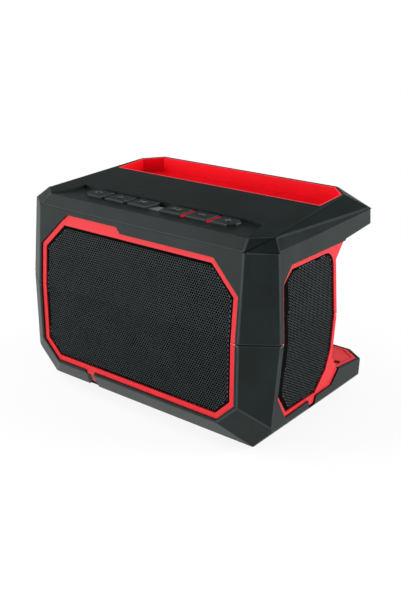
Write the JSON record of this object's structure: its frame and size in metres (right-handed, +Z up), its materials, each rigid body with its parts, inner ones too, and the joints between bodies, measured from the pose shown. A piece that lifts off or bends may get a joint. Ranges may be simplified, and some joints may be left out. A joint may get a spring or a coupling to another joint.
{
  "type": "bluetooth speaker",
  "caption": "Rugged jobsite speaker with faceted black covers, red frames round perforated grilles, push buttons, a parts tray in the top and a battery bay at the rear.",
  "frame": {"origin": "middle of the footprint on the ground, under the rubber feet", "axes": "+X to the right seen from the front, +Y to the rear, +Z up; the main grille faces -Y"},
  "size_m": [0.24, 0.1492, 0.1639],
  "materials": {
    "cover_black": "fine moulded texture",
    "housing_red": "satin moulded",
    "grille_steel": "perforated sheet, matt black powder coat",
    "dust_cloth": "thin woven cloth",
    "soft_rubber": "matt",
    "button_black": "satin, printed symbols",
    "lens_clear": "clear",
    "baffle_black": "moulded",
    "basket_steel": "pressed steel, black",
    "magnet_steel": "zinc plated",
    "cone_paper": "pulp cone",
    "plate_metal": "satin",
    "board_green": "solder mask",
    "component_grey": "mixed components",
    "screw_steel": "zinc plated",
    "terminal_brass": "bright",
    "dock_black": "moulded"
  },
  "bodies": {
    "housing": {"top_cover": "cover_black", "base_cover": "cover_black", "upper_housing": "housing_red", "lower_housing": "housing_red", "parting_seal": "soft_rubber", "overhang_panel": "housing_red", "tray_liner": "housing_red", "shelf_plate": "housing_red", "front_grille": "grille_steel", "left_grille": "grille_steel", "right_grille": "grille_steel", "grille_cloth": "dust_cloth", "front_baffle": "baffle_black", "left_baffle": "baffle_black", "right_baffle": "baffle_black", "left_driver_frame": "basket_steel", "right_driver_frame": "basket_steel", "left_driver_surround": "soft_rubber", "right_driver_surround": "soft_rubber", "left_driver_magnet": "magnet_steel", "right_driver_magnet": "magnet_steel", "left_radiator_surround": "soft_rubber", "right_radiator_surround": "soft_rubber", "button_bed": "housing_red", "status_lens": "lens_clear", "control_board": "board_green", "tact_switches": "component_grey", "main_board": "board_green", "board_components": "component_grey", "radio_module": "component_grey", "battery_dock": "dock_black", "dock_terminals": "terminal_brass", "housing_screws": "screw_steel", "cover_screws": "screw_steel", "base_screws": "screw_steel", "panel_screws": "screw_steel", "shelf_screws": "screw_steel", "driver_screws": "screw_steel", "board_screws": "screw_steel", "dock_screws": "screw_steel", "rubber_feet": "soft_rubber"},
    "power_button": {"power_button": "button_black"},
    "pairing_button": {"pairing_button": "button_black"},
    "back_button": {"back_button": "button_black"},
    "play_button": {"play_button": "button_black"},
    "minus_button": {"minus_button": "button_black"},
    "plus_button": {"plus_button": "button_black"},
    "left_driver_cone": {"left_driver_cone": "cone_paper"},
    "right_driver_cone": {"right_driver_cone": "cone_paper"},
    "left_radiator_plate": {"left_radiator_plate": "plate_metal"},
    "right_radiator_plate": {"right_radiator_plate": "plate_metal"}
  },
  "joints": [
    {"name": "power_press", "type": "slide", "parent": "housing", "child": "power_button", "axis": [0, 0, -1], "range_m": [0, 0.0008], "stiffness_N_per_m": 1500},
    {"name": "pairing_press", "type": "slide", "parent": "housing", "child": "pairing_button", "axis": [0, 0, -1], "range_m": [0, 0.0008], "stiffness_N_per_m": 1500},
    {"name": "back_press", "type": "slide", "parent": "housing", "child": "back_button", "axis": [0, 0, -1], "range_m": [0, 0.0008], "stiffness_N_per_m": 1500},
    {"name": "play_press", "type": "slide", "parent": "housing", "child": "play_button", "axis": [0, 0, -1], "range_m": [0, 0.0008], "stiffness_N_per_m": 1500},
    {"name": "minus_press", "type": "slide", "parent": "housing", "child": "minus_button", "axis": [0, 0, -1], "range_m": [0, 0.0008], "stiffness_N_per_m": 1500},
    {"name": "plus_press", "type": "slide", "parent": "housing", "child": "plus_button", "axis": [0, 0, -1], "range_m": [0, 0.0008], "stiffness_N_per_m": 1500},
    {"name": "left_cone_stroke", "type": "slide", "parent": "housing", "child": "left_driver_cone", "axis": [0, 1, 0], "range_m": [-0.0015, 0.0015], "stiffness_N_per_m": 2000},
    {"name": "right_cone_stroke", "type": "slide", "parent": "housing", "child": "right_driver_cone", "axis": [0, 1, 0], "range_m": [-0.0015, 0.0015], "stiffness_N_per_m": 2000},
    {"name": "left_radiator_stroke", "type": "slide", "parent": "housing", "child": "left_radiator_plate", "axis": [-1, 0, 0], "range_m": [-0.0015, 0.0015], "stiffness_N_per_m": 1500},
    {"name": "right_radiator_stroke", "type": "slide", "parent": "housing", "child": "right_radiator_plate", "axis": [1, 0, 0], "range_m": [-0.0015, 0.0015], "stiffness_N_per_m": 1500}
  ]
}
